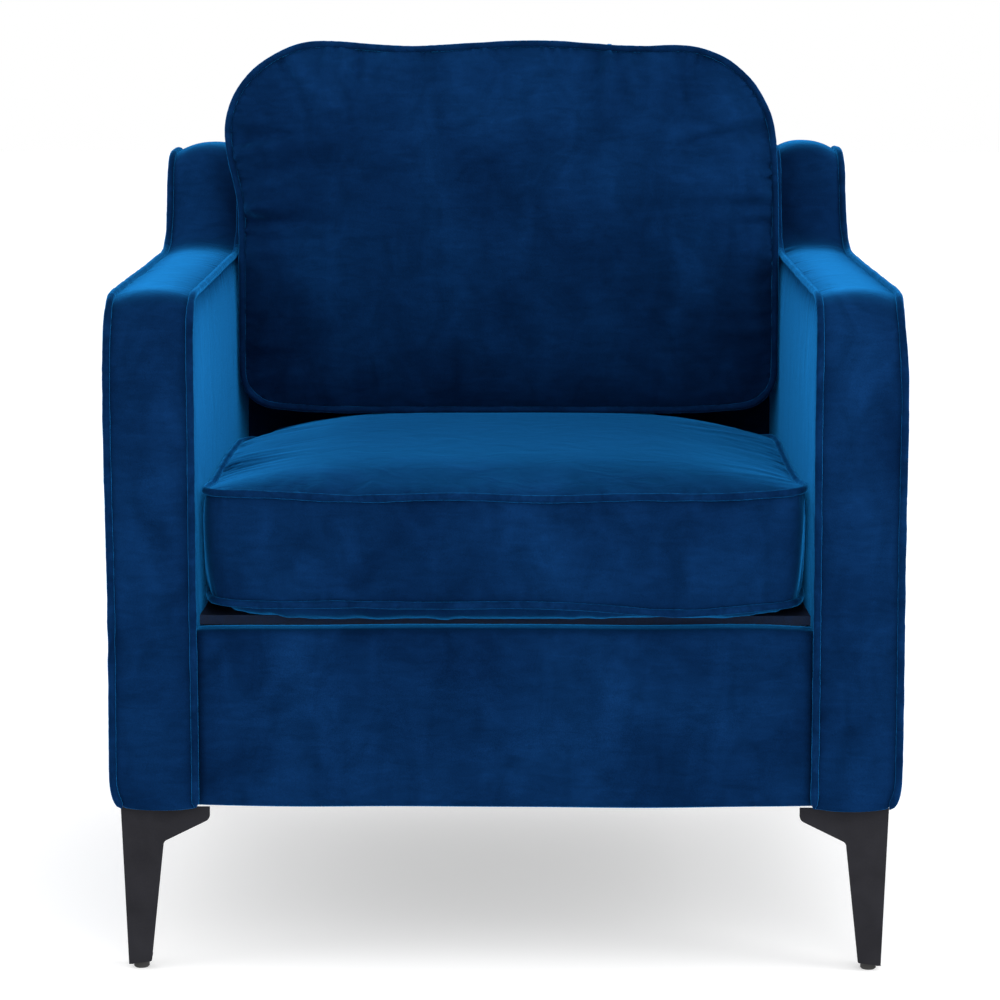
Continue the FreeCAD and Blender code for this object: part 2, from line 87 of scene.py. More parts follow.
BOXED_ROWS = 14                # rows of faces in a strip
SLIDE_ROOM = 0.0015            # between the seat cushion and the arms' inner piping
PIPING_PROUD = 0.0021          # how far a cushion's piping stands past its seam, besides its radius
ZIP_PROUD = 0.0003             # how far the cover may pass the inner face of the seat zip's tape
FILL_PRESSURE = 4.0            # of the cloth simulation
FILL_FRAMES = 20
SLACK_REACH = 0.055            # how far from the seams the cloth is slack

# (depth, wavelength along the seam, reach from the seam) of each size of fold
ARM_FOLDS = ((0.0003, 0.018, 0.004),)
SEAT_FOLDS = ((0.0006, 0.012, 0.006), (0.0009, 0.040, 0.018))
BACK_FOLDS = ((0.0016, 0.011, 0.006), (0.0040, 0.030, 0.020), (0.0034, 0.070, 0.040))


# ------------------------------------------------------------------ small helpers

def span(node):
    """Lowest and highest corner of a CAD node as two arrays."""
    low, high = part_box(node)
    return np.array(low), np.array(high)


def ripples(points, wavelength, seed, waves=10):
    """Smooth, repeatable noise of about -1 to 1: a sum of waves in random directions."""
    rng = np.random.RandomState(seed)
    points = np.atleast_2d(points)
    total = np.zeros(len(points))
    for _ in range(waves):
        direction = rng.normal(size=points.shape[1])
        direction /= np.linalg.norm(direction)
        turn = 2 * np.pi / (wavelength * rng.uniform(0.6, 1.7))
        total += np.sin(points @ direction * turn + rng.uniform(0, 2 * np.pi))
    return total / math.sqrt(waves)


def bump_at(x, centre, width, height):
    """A single smooth hump along a line."""
    return height * np.exp(-((x - centre) / width) ** 2)


def limited(values, limit, reach):
    """Values that level off smoothly just below a limit."""
    over = np.maximum(values - (limit - reach), 0)
    return np.where(over > 0, limit - reach + reach * np.tanh(over / reach), values)


def narrowed(x, half, reach):
    """Sideways places held within half a width of the middle."""
    return np.sign(x) * limited(np.abs(x), half, reach)


def smooth(t):
    """An S-shaped step: 0 up to t = 0, 1 from t = 1."""
    t = np.clip(t, 0.0, 1.0)
    return t * t * (3 - 2 * t)


def rounded_outline(corners, radii, spacing):
    """Evenly spaced points round a polygon with rounded corners."""
    line = []
    for i, radius in enumerate(radii):
        corner = np.array(corners[i], float)
        before = np.array(corners[i - 1], float) - corner
        after = np.array(corners[(i + 1) % len(corners)], float) - corner
        before /= np.linalg.norm(before)
        after /= np.linalg.norm(after)
        half = math.acos(np.clip(before @ after, -1, 1)) / 2
        towards = (before + after) / np.linalg.norm(before + after)
        centre = corner + towards * radius / math.sin(half)
        start = corner + before * radius / math.tan(half) - centre
        end = corner + after * radius / math.tan(half) - centre
        sweep = math.pi - 2 * half
        for t in np.linspace(0, 1, 16):
            spoke = math.sin((1 - t) * sweep) * start + math.sin(t * sweep) * end
            line.append(centre + spoke / math.sin(sweep))
    line = np.array(line + line[:1])
    along = np.r_[0, np.cumsum(np.linalg.norm(np.diff(line, axis=0), axis=1))]
    at = np.linspace(0, along[-1], round(along[-1] / spacing), endpoint=False)
    return np.c_[np.interp(at, along, line[:, 0]), np.interp(at, along, line[:, 1])]


def outline_normals(outline):
    """Outward normals of a counter-clockwise outline."""
    tangent = np.roll(outline, -1, 0) - np.roll(outline, 1, 0)
    tangent /= np.linalg.norm(tangent, axis=1)[:, None]
    return np.c_[tangent[:, 1], -tangent[:, 0]]


def distance_to(points, outline):
    """For each point, its distance to an outline and the index of the nearest outline point."""
    tree = KDTree(len(outline))
    for i, p in enumerate(outline):
        tree.insert(Vector((*p, 0.0)[:3]), i)
    tree.balance()
    found = [tree.find(Vector((*p, 0.0)[:3])) for p in points]
    return np.array([f[2] for f in found]), np.array([f[1] for f in found])


def inside(points, outline):
    """Which points lie inside a closed outline."""
    x, y = points[:, 0], points[:, 1]
    result = np.zeros(len(points), bool)
    for (ax, ay), (bx, by) in zip(outline, np.roll(outline, -1, 0)):
        crosses = (ay > y) != (by > y)
        with np.errstate(divide="ignore", invalid="ignore"):
            result ^= crosses & (x < (bx - ax) * (y - ay) / (by - ay) + ax)
    return result


class Boxed:
    """A boxed form: two flat panels sewn to a strip that runs round between them.

    u and v lie in the panels and w runs through the thickness. near is the panel at w0, far the one at w1.
    """

    def __init__(self, outline, w0, w1, spacing, rows):
        low, high = outline.min(0), outline.max(0)
        grid_u = np.arange(low[0], high[0], spacing)
        grid_v = np.arange(low[1], high[1], spacing * math.sqrt(0.75))
        grid = np.array([(u + (j % 2) * spacing / 2, v) for j, v in enumerate(grid_v) for u in grid_u])
        grid = grid[inside(grid, outline)]
        room, _ = distance_to(grid, outline)
        grid = grid[room > spacing * 0.7]
        count = len(outline)
        flat = np.r_[outline, grid]
        ring = [(i, (i + 1) % count) for i in range(count)]
        made = delaunay_2d_cdt([Vector(p) for p in flat], ring, [], 1, 1e-7)
        if len(made[0]) != len(flat):
            raise ValueError("the panel lost or gained points")
        triangles = np.array(made[2])
        order = np.array([o[0] for o in made[3]])
        triangles = order[triangles]
        a, b, c = (flat[triangles[:, k]] for k in range(3))
        turned = (b[:, 0] - a[:, 0]) * (c[:, 1] - a[:, 1]) - (b[:, 1] - a[:, 1]) * (c[:, 0] - a[:, 0]) < 0
        triangles[turned] = triangles[turned][:, ::-1]

        size, inner = len(flat), rows - 1
        levels = [w0 + (w1 - w0) * (r + 1) / rows for r in range(inner)]
        strip = [np.c_[outline, np.full(count, w)] for w in levels]
        self.points = np.vstack([
            np.c_[flat, np.full(size, w0)], np.c_[flat, np.full(size, w1)], *strip])
        self.near, self.far = np.arange(size), np.arange(size, 2 * size)
        self.seam_near, self.seam_far = self.near[:count], self.far[:count]
        self.rings = [self.seam_near]
        self.rings += [2 * size + r * count + np.arange(count) for r in range(inner)]
        self.rings += [self.seam_far]
        self.faces = [tuple(int(i) for i in t[::-1]) for t in triangles]
        self.faces += [tuple(int(i) + size for i in t) for t in triangles]
        for low_ring, high_ring in zip(self.rings, self.rings[1:]):
            for i in range(count):
                k = (i + 1) % count
                self.faces.append((int(low_ring[i]), int(low_ring[k]), int(high_ring[k]), int(high_ring[i])))
        self.flat, self.outline, self.count = flat, outline, count
        edges = np.vstack([triangles[:, [0, 1]], triangles[:, [1, 2]], triangles[:, [2, 0]]])
        self.links = np.unique(np.sort(edges, axis=1), axis=0)
        self.edge_distance, _ = distance_to(flat, outline)
        self.edge_distance[:count] = 0.0
        self.edge_distance = self.settled(self.edge_distance, 60)
        self.normals = outline_normals(outline)
        steps = np.linalg.norm(np.roll(outline, -1, 0) - outline, axis=1)
        self.along = np.r_[0, np.cumsum(steps)[:-1]]

    def crown(self, panel, amount):
        """Moves a panel out along w. amount has one value for each of the panel's points."""
        way = -1 if panel is self.near else 1
        self.points[panel, 2] += way * amount

    def settled(self, field, rounds):
        """A panel field averaged with its neighbours again and again, with its seam values held."""
        field = np.array(field, float)
        flat = field.ndim == 1
        field = field[:, None] if flat else field
        held = field[:self.count].copy()
        a, b = self.links.T
        degree = np.bincount(np.r_[a, b], minlength=len(field))[:, None]
        for _ in range(rounds):
            total = np.zeros_like(field)
            np.add.at(total, a, field[b])
            np.add.at(total, b, field[a])
            field = total / degree
            field[:self.count] = held
        return field[:, 0] if flat else field

    def pull(self, ring, move, rounds):
        """Moves a seam, and the strip and panel beside it with it. move has one row for each seam point."""
        panel = self.near if ring is self.seam_near else self.far
        field = np.zeros((len(self.flat), 3))
        field[:self.count] = move
        self.points[panel] += self.settled(field, rounds)
        rows = len(self.rings) - 1
        for r, row in enumerate(self.rings[1:-1], 1):
            share = r / rows if ring is self.seam_far else 1 - r / rows
            self.points[row] += move * share

    def bulge_strip(self, amount):
        """Bulges the strip between the seams. amount is a number or one value per outline point."""
        rows = len(self.rings) - 1
        for r, ring in enumerate(self.rings[1:-1], 1):
            t = 2 * r / rows - 1
            push = np.broadcast_to(amount * (1 - abs(t) ** 2.4), self.count)
            self.points[ring, :2] += self.normals * push[:, None]


def build_object(name, points, faces, body, slot, material, stands_for=(), fill=None):
    """Makes a smooth-shaded mesh object that rides on a body."""
    mesh = bpy.data.meshes.new(name)
    mesh.from_pydata([tuple(p) for p in points], [], faces)
    mesh.update()
    mesh.polygons.foreach_set("use_smooth", [True] * len(mesh.polygons))
    obj = bpy.data.objects.new(name, mesh)
    bpy.context.scene.collection.objects.link(obj)
    mesh.materials.append(material)
    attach(obj, body)
    if stands_for:
        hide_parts(*stands_for)
    return obj


def cord_mesh(line, radius, closed, seed):
    """A round piping along a line: points and faces. Its thickness varies a little, as sewn piping does."""
    line = np.asarray(line, float)
    count = len(line)
    if closed:
        tangent = np.roll(line, -1, 0) - np.roll(line, 1, 0)
    else:
        tangent = np.gradient(line, axis=0)
    tangent /= np.linalg.norm(tangent, axis=1)[:, None]
    side = np.zeros_like(line)
    start = np.array([0.0, 0.0, 1.0]) if abs(tangent[0][2]) < 0.9 else np.array([1.0, 0.0, 0.0])
    side[0] = start - tangent[0] * (start @ tangent[0])
    for i in range(1, count):
        side[i] = side[i - 1] - tangent[i] * (side[i - 1] @ tangent[i])
        side[i] /= np.linalg.norm(side[i])
    side[0] /= np.linalg.norm(side[0])
    other = np.cross(tangent, side)
    steps = np.linalg.norm(np.diff(line, axis=0), axis=1)
    along = np.r_[0, np.cumsum(steps)][:, None]
    thick = radius * (1 + 0.05 * ripples(along, 0.05, seed) + 0.02 * ripples(along, 0.012, seed + 1))
    if not closed:
        ends = np.minimum(along[:, 0], along[-1, 0] - along[:, 0])
        thick *= np.sqrt(np.clip(ends / (radius * 1.5), 0.02, 1.0))
    angles = 2 * np.pi * np.arange(CORD_SEGMENTS) / CORD_SEGMENTS
    ring = np.cos(angles)[None, :, None] * side[:, None] + np.sin(angles)[None, :, None] * other[:, None]
    points = (line[:, None] + ring * thick[:, None, None]).reshape(-1, 3)
    faces = []
    for i in range(count if closed else count - 1):
        j = (i + 1) % count
        for k in range(CORD_SEGMENTS):
            m = (k + 1) % CORD_SEGMENTS
            here, there = i * CORD_SEGMENTS, j * CORD_SEGMENTS
            faces.append((here + k, here + m, there + m, there + k))
    if not closed:
        faces.append(tuple(range(CORD_SEGMENTS))[::-1])
        faces.append(tuple((count - 1) * CORD_SEGMENTS + k for k in range(CORD_SEGMENTS)))
    return points, faces


def refined(points, faces, seams):
    """One round of smooth subdivision that keeps the seams sharp."""
    mesh = bpy.data.meshes.new("refine")
    mesh.from_pydata([tuple(p) for p in points], [], faces)
    sewn = {frozenset((int(a), int(b))) for seam in seams for a, b in zip(seam, np.roll(seam, -1))}
    crease = mesh.attributes.new("crease_edge", "FLOAT", "EDGE")
    crease.data.foreach_set("value", [float(frozenset(e.vertices) in sewn) for e in mesh.edges])
    obj = bpy.data.objects.new("refine", mesh)
    WORKROOM.collection.objects.link(obj)
    subdivision = obj.modifiers.new("subdivision", "SUBSURF")
    subdivision.levels, subdivision.use_limit_surface = 1, False
    layer = WORKROOM.view_layers[0]
    layer.update()
    fine = obj.evaluated_get(layer.depsgraph).to_mesh()
    points = np.empty(len(fine.vertices) * 3)
    fine.vertices.foreach_get("co", points)
    faces = [tuple(p.vertices) for p in fine.polygons]
    bpy.data.objects.remove(obj)
    bpy.data.meshes.remove(mesh)
    return points.reshape(-1, 3), faces


def vertex_normals(points, faces):
    """Unit normals at the points of a mesh of triangles and quads."""
    quads = np.array([f if len(f) == 4 else (*f, f[-1]) for f in faces])
    a, b, c, d = (points[quads[:, k]] for k in range(4))
    flat = np.cross(c - a, d - b)
    normals = np.zeros_like(points)
    for k in range(4):
        np.add.at(normals, quads[:, k], flat)
    return normals / (np.linalg.norm(normals, axis=1)[:, None] + 1e-12)


def puckered(points, faces, seams, folds, seed, calm=0.0):
    """Folds that start at the seams and die away from them, as sewn cloth gathers.

    folds holds (depth, wavelength along the seam, reach from the seam) for each size of fold.
    calm is how much weaker the folds are at the bottom of the piece.
    """
    normals = vertex_normals(points, faces)
    push = np.zeros(len(points))
    for n, seam in enumerate(seams):
        seam = resampled(seam, 0.002, True)
        d, index = distance_to(points, seam)
        along = 0.002 * np.arange(len(seam))[:, None]
        for k, (depth, wavelength, reach) in enumerate(folds):
            wave = ripples(along, wavelength, seed + n + 31 * k)
            wave *= np.clip(0.5 + 0.6 * ripples(along, wavelength * 5, seed + 9 + n + 31 * k), 0, 1.3)
            away = d / reach
            push += depth * wave[index] * away * np.exp(1 - away)
    z = points[:, 2]
    push *= 1 - calm * (1 - smooth((z - z.min()) / (0.55 * np.ptp(z))))
    return points + normals * push[:, None]


def resampled(line, spacing, closed):
    """The same line with evenly spaced points."""
    line = np.asarray(line, float)
    if closed:
        line = np.vstack([line, line[:1]])
    along = np.r_[0, np.cumsum(np.linalg.norm(np.diff(line, axis=0), axis=1))]
    count = max(4, round(along[-1] / spacing))
    at = np.linspace(0, along[-1], count, endpoint=not closed)
    return np.c_[tuple(np.interp(at, along, line[:, k]) for k in range(3))]


def evened(line, passes, closed):
    """A line with its small kinks smoothed away."""
    line = np.array(line, float)
    for _ in range(passes):
        middle = (np.roll(line, 1, 0) + np.roll(line, -1, 0)) / 2
        if not closed:
            middle[0], middle[-1] = line[0], line[-1]
        line = line * 0.5 + middle * 0.5
    return line


# ------------------------------------------------------------------ materials

def nodes_of(material):
    """Gives a material an empty node tree with one Principled shader. Returns both."""
    material.use_nodes = True
    tree = material.node_tree
    tree.nodes.clear()
    output = tree.nodes.new("ShaderNodeOutputMaterial")
    shader = tree.nodes.new("ShaderNodeBsdfPrincipled")
    tree.links.new(shader.outputs["BSDF"], output.inputs["Surface"])
    return tree, shader


def add(tree, kind, **inputs):
    """A node with some of its inputs set by name."""
    node = tree.nodes.new(kind)
    for key, value in inputs.items():
        node.inputs[key].default_value = value
    return node


def noise_map(tree, scale, detail=3.0, stretch=(1.0, 1.0, 1.0), distortion=0.0):
    """Noise in the object's own coordinates, in waves per metre. Gives its factor output."""
    coords = add(tree, "ShaderNodeTexCoord")
    mapping = add(tree, "ShaderNodeMapping")
    mapping.inputs["Scale"].default_value = stretch
    tree.links.new(coords.outputs["Object"], mapping.inputs["Vector"])
    noise = add(tree, "ShaderNodeTexNoise", Scale=scale, Detail=detail, Distortion=distortion)
    tree.links.new(mapping.outputs["Vector"], noise.inputs["Vector"])
    return noise.outputs["Fac"]


def ramp(tree, factor, stops):
    """A colour ramp with (position, colour) stops."""
    node = tree.nodes.new("ShaderNodeValToRGB")
    elements = node.color_ramp.elements
    for i, (position, colour) in enumerate(stops):
        element = elements[i] if i < 2 else elements.new(position)
        element.position = position
        element.color = (*colour, 1.0)
    tree.links.new(factor, node.inputs["Fac"])
    return node.outputs["Color"]


def multiplied(tree, factor, a, b):
    """A colour output multiplied by another. factor is how much of the product is used."""
    node = tree.nodes.new("ShaderNodeMix")
    node.data_type, node.blend_type = "RGBA", "MULTIPLY"
    node.inputs[0].default_value = factor
    tree.links.new(a, node.inputs[6])
    tree.links.new(b, node.inputs[7])
    return node.outputs[2]


def greys(low, dark, high, light):
    """The stops of a ramp between two greys."""
    return [(low, (dark,) * 3), (high, (light,) * 3)]


def bumps(tree, shader, layers):
    """Stacked bump maps: (height output, strength, distance in metres)."""
    normal = None
    for height, strength, distance in layers:
        node = add(tree, "ShaderNodeBump", Strength=strength, Distance=distance)
        tree.links.new(height, node.inputs["Height"])
        if normal is not None:
            tree.links.new(normal, node.inputs["Normal"])
        normal = node.outputs["Normal"]
    tree.links.new(normal, shader.inputs["Normal"])


DEEP_BLUE = (0.0016, 0.0125, 0.050)
LIT_BLUE = (0.0028, 0.0235, 0.088)


def velvet(name, deep, lit, patch_scale=7.0):
    """Short-pile velvet with brushed patches. The shader's own sheen lights it at grazing angles."""
    material = bpy.data.materials.new(name)
    tree, shader = nodes_of(material)
    patches = noise_map(tree, patch_scale, 4.0, (1.0, 1.0, 1.0), 0.6)
    brushed = noise_map(tree, patch_scale * 3.5, 5.0, (1.0, 1.0, 0.6), 1.2)
    streaks = noise_map(tree, 110.0, 4.0, (0.35, 0.6, 1.3), 0.8)
    nap = noise_map(tree, 1400.0, 2.0)
    ground = ramp(tree, patches, [(0.30, deep), (0.72, lit)])
    fibre = ramp(tree, streaks, greys(0.25, 0.84, 0.75, 1.14))
    colour = multiplied(tree, 1.0, ground, fibre)
    swept = ramp(tree, brushed, greys(0.30, 0.80, 0.70, 1.16))
    colour = multiplied(tree, 1.0, colour, swept)
    grain = ramp(tree, nap, greys(0.30, 0.72, 0.70, 1.28))
    colour = multiplied(tree, 0.7, colour, grain)
    tree.links.new(colour, shader.inputs["Base Color"])
    shader.inputs["Roughness"].default_value = 0.75
    shader.inputs["Specular IOR Level"].default_value = 0.0
    shader.inputs["Sheen Weight"].default_value = 1.0
    shader.inputs["Sheen Roughness"].default_value = 0.31
    shader.inputs["Sheen Tint"].default_value = (0.02, 0.37, 1.0, 1.0)
    bumps(tree, shader, [(nap, 0.25, 0.0006), (streaks, 0.12, 0.0008), (brushed, 0.16, 0.005)])
    return material


def coloured(slot):
    """The record's colour for a material slot."""
    return next(m["base_color"][:3] for m in frame["record"]["materials"] if m["slot"] == slot)


def shaded(colour, amount):
    """A colour made darker or lighter."""
    return tuple(min(1.0, c * amount) for c in colour)


def plain(slot, roughness, scale, stretch=(1.0, 1.0, 1.0), contrast=0.25, metallic=0.0, relief=0.0003,
          fine=900.0, sheen=0.0, gloss=0.5):
    """A material with grain: two scales of noise in its colour, gloss and relief."""
    material = bpy.data.materials.new(slot)
    tree, shader = nodes_of(material)
    colour = coloured(slot)
    broad = noise_map(tree, scale, 5.0, stretch, 0.4)
    close = noise_map(tree, fine, 2.0)
    tint = ramp(tree, broad, [(0.30, shaded(colour, 1 - contrast)), (0.70, shaded(colour, 1 + contrast))])
    speck = ramp(tree, close, greys(0.3, 0.88, 0.7, 1.10))
    tree.links.new(multiplied(tree, 1.0, tint, speck), shader.inputs["Base Color"])
    dull = ramp(tree, broad, greys(0.3, roughness * 0.88, 0.7, min(1.0, roughness * 1.12)))
    tree.links.new(dull, shader.inputs["Roughness"])
    shader.inputs["Metallic"].default_value = metallic
    shader.inputs["Specular IOR Level"].default_value = gloss
    shader.inputs["Sheen Weight"].default_value = sheen
    bumps(tree, shader, [(broad, 0.3, relief), (close, 0.25, relief)])
    return material


VELVET = velvet("velvet", DEEP_BLUE, LIT_BLUE)
PIPING = velvet("piping", shaded(DEEP_BLUE, 0.9), shaded(LIT_BLUE, 0.9), 30.0)
MATERIALS = {
    "velvet": VELVET,
    "piping": PIPING,
    "foam": plain("foam", 0.95, 40.0, contrast=0.08, relief=0.0012, fine=420.0),
    "fibre_fill": plain("fibre_fill", 1.0, 25.0, contrast=0.06, relief=0.0030, fine=160.0, sheen=0.4),
    "deck_cloth": plain("deck_cloth", 0.95, 120.0, contrast=0.20, relief=0.0010, fine=700.0),
    "timber": plain("timber", 0.62, 18.0, (1.0, 0.12, 1.0), contrast=0.28, relief=0.0004),
    "plywood": plain("plywood", 0.60, 14.0, (1.0, 0.15, 0.8), contrast=0.20, relief=0.0003),
    "spring_steel": plain("spring_steel", 0.38, 200.0, contrast=0.12, metallic=1.0, relief=0.0001),
    "zinc_steel": plain("zinc_steel", 0.30, 260.0, contrast=0.15, metallic=1.0, relief=0.0001),
    "black_steel": plain("black_steel", 0.42, 30.0, contrast=0.15, relief=0.00012, fine=1500.0, gloss=0.03),
    "rubber": plain("rubber", 0.80, 90.0, contrast=0.15, relief=0.0002),
    "dust_cloth": plain("dust_cloth", 0.95, 300.0, contrast=0.25, relief=0.0004, fine=1200.0),
    "webbing": plain("webbing", 0.85, 250.0, (1.0, 1.0, 0.1), contrast=0.30, relief=0.0006),
    "zip": plain("zip", 0.70, 200.0, contrast=0.20, relief=0.0003),
    "zip_metal": plain("zip_metal", 0.35, 120.0, contrast=0.12, metallic=0.6, relief=0.0001),
}


def dress_cad_nodes():
    """Gives every CAD node that still shows its own finished material."""
    slots = {s["node"]: s["material_slot"] for s in frame["record"]["subparts"]}
    for name, obj in NODES.items():
        obj.data.materials.clear()
        obj.data.materials.append(MATERIALS[slots[name]])


# ------------------------------------------------------------------ arms

def arm_side_outline(spacing):
    """The arm's side view as (y, z) points, from the CAD frame inside it."""
    low, high = span("right_arm_cover")
    depth = high[0] - span("right_arm_base_rail")[1][0]
    arm_top = arm_top_height()
    step = span("right_arm_top_rail")[1][1] - depth
    corners = [
        (low[1], low[2]), (high[1], low[2]), (high[1], high[2]),
        (step + ARM_STEP_LEAN, high[2]), (step, arm_top), (low[1], arm_top),
    ]
    return rounded_outline(corners, ARM_RADII, spacing)


def arm_top_height():
    """Height of the arm's top in front of the shoulder, from the timber under it."""
    post_low, post_high = span("right_arm_front_post")
    depth = span("right_arm_cover")[1][0] - span("right_arm_base_rail")[1][0]
    return post_high[2] + (post_high[1] - post_low[1]) + depth


def foot_tuck(z, floor):
    """How far an arm's outer side curls in close to its underside."""
    t = np.clip(1 - (z - floor) / 0.030, 0, 1)
    return 0.012 * (1 - np.sqrt(1 - t * t))


def underside(normals):
    """1 on an arm's flat underside, 0 on its front, top and rear."""
    return smooth((-normals[:, 1] - 0.5) / 0.4)


def make_arm(side):
    """One arm's upholstery and its two pipings. side is -1 for the left arm, 1 for the right."""
    name = "left" if side < 0 else "right"
    seed = 10 if side < 0 else 50
    low, high = span("right_arm_cover")
    x_in, x_out = low[0] + WELT_IN, high[0] - WELT_IN
    outline = arm_side_outline(OUTLINE_SPACING)
    above = smooth((outline[:, 1] - low[2] - 0.02) / 0.06)[:, None]
    outline = evened(outline, 30, True) * above + outline * (1 - above)      # its bottom corners stay crisp
    normals = outline_normals(outline)
    outline -= normals * (SEAM_INSET * (1 - underside(normals)))[:, None]
    arm = Boxed(outline, x_in, x_out, 0.007, BOXED_ROWS)
    y, z = outline[:, 0], outline[:, 1]
    front, top = low[1], arm_top_height()

    # The seams draw in round the corners and wander a little between them
    corner = np.exp(-((y - front) ** 2 + (z - top) ** 2) / 0.060 ** 2)
    foot = foot_tuck(z, low[2])
    shoulder = smooth((z - top - 0.03) / 0.05)
    crest = smooth((z - high[2] + 0.030) / 0.020)
    for ring, way in ((arm.seam_near, -1), (arm.seam_far, 1)):
        wander = ripples(np.c_[y, z], 0.30, seed + 3 * way) * 0.0005
        move = np.zeros((arm.count, 3))
        move[:, 1] = -SHOULDER_DROP[side] * shoulder
        if way < 0:
            move[:, :2] += arm.normals * (corner * 0.004)[:, None]
            move[:, 2] = wander
        else:
            splay = np.interp(y, (low[1], high[1]), SPLAY[side])
            move[:, 1] -= 0.003 * crest
            most = x_out - span("right_arm_base_rail")[1][0] - 0.002      # the timber stays covered
            move[:, 2] = wander + np.maximum(splay - foot, -most) - CORNER_TUCK[side] * corner
        arm.pull(ring, move, 120)

    edge = arm.edge_distance
    slack = ripples(arm.flat, 0.26, seed) * 0.0008
    outer = OUTER_BULGE[side]
    swell = 0.35 * (1 - np.exp(-edge / 0.010)) + 0.65 * (1 - np.exp(-edge / 0.055))
    arm.crown(arm.far, (outer + slack) * swell)
    arm.crown(arm.near, 0.0065 * swell)
    puffed = SEAM_INSET + 0.0022 + 0.003 * crest + 0.0005 * ripples(arm.along[:, None], 0.35, seed + 2)
    flat = underside(arm.normals)
    arm.bulge_strip(puffed * (1 - flat) + 0.0010 * flat)
    line_near, line_far = (arm.points[ring] for ring in (arm.seam_near, arm.seam_far))
    points, faces = refined(arm.points, arm.faces, (arm.seam_near, arm.seam_far))
    points = puckered(points, faces, (line_near, line_far), ARM_FOLDS, seed + 20)
    points = points[:, [2, 0, 1]] * (side, 1, 1)
    faces = faces if side > 0 else [f[::-1] for f in faces]
    build_object(f"{name}_arm_upholstery", points, faces, "chair_frame", "velvet", VELVET,
                 (f"{name}_arm_cover", f"{name}_arm_padding"), 0.8)

    for line, kind in ((line_near, "inner"), (line_far, "outer")):
        outward = np.c_[arm.normals, np.full(arm.count, -1.0 if kind == "inner" else 1.0)]
        line = (line + outward * ARM_PIPING_OUT)[:, [2, 0, 1]] * (side, 1, 1)
        line = np.roll(line, -int(np.argmax(line[:, 1] - 2 * line[:, 2])), 0)
        line = resampled(line, 0.001, False)
        line = line[line[:, 2] > low[2] + 0.0008]
        line = evened(resampled(line, 0.004, False), 2, False)
        build_object(f"{name}_arm_{kind}_piping", *cord_mesh(line, WELT_R, False, seed + len(kind)),
                     "chair_frame", "piping", PIPING, (f"{name}_arm_{kind}_welt",))


# ------------------------------------------------------------------ seat base and back

def block(name, corners, radii, x0, x1, swell, seed, stands_for):
    """A padded block that runs across the chair, from its side view."""
    form = Boxed(rounded_outline(corners, radii, 0.006), x0, x1, 0.012, round((x1 - x0) / 0.010))
    rows = len(form.rings) - 1
    for r, ring in enumerate(form.rings):
        t = 2 * r / rows - 1
        across = 1 - math.exp(-(1 - abs(t)) * (x1 - x0) / 2 / BLOCK_REACH)
        place = np.c_[form.points[ring, :2], np.full(form.count, form.points[ring[0], 2])]
        push = swell * across + 0.0008 * across * ripples(place, 0.16, seed)
        form.points[ring, :2] += form.normals * push[:, None]
    points = form.points[:, [2, 0, 1]]
    build_object(name, points, form.faces, "chair_frame", "velvet", VELVET, stands_for, 0.8)


def make_front_rail():
    """The padded rail under the seat cushion."""
    low, high = span("front_rail_cover")
    high[2] -= RAIL_TOP_DROP
    low[2] -= RAIL_FOOT_DROP
    corners = [(low[1], low[2]), (high[1], low[2]), (high[1], high[2]), (low[1], high[2])]
    block("front_rail_upholstery", corners, RAIL_RADII, low[0] + BLOCK_GAP, high[0] - BLOCK_GAP,
          0.002, 90, ("front_rail_cover", "front_rail_padding"))


def make_back():
    """The padded back behind the back cushion, from its side view."""
    low, high = span("back_cover")
    pad_high = span("back_padding")[1]
    deck = span("back_lower_rail")[0][2]
    rear_rail = span("seat_rear_rail")[1][1]
    corners = [
        (low[1], deck), (rear_rail, deck), (rear_rail, low[2]), (high[1], low[2]),
        (high[1], high[2]), (pad_high[1] - 0.012, high[2]),
    ]
    block("back_upholstery", corners, BACK_RADII, low[0] + BLOCK_GAP, high[0] - BLOCK_GAP,
          0.003, 120, ("back_cover", "back_padding"))


# ------------------------------------------------------------------ cushions

def near_corner(outline, corner, reach):
    """1 at a corner of an outline, fading to 0 away from it."""
    return np.exp(-(np.linalg.norm(outline - np.array(corner), axis=1) / reach) ** 2)


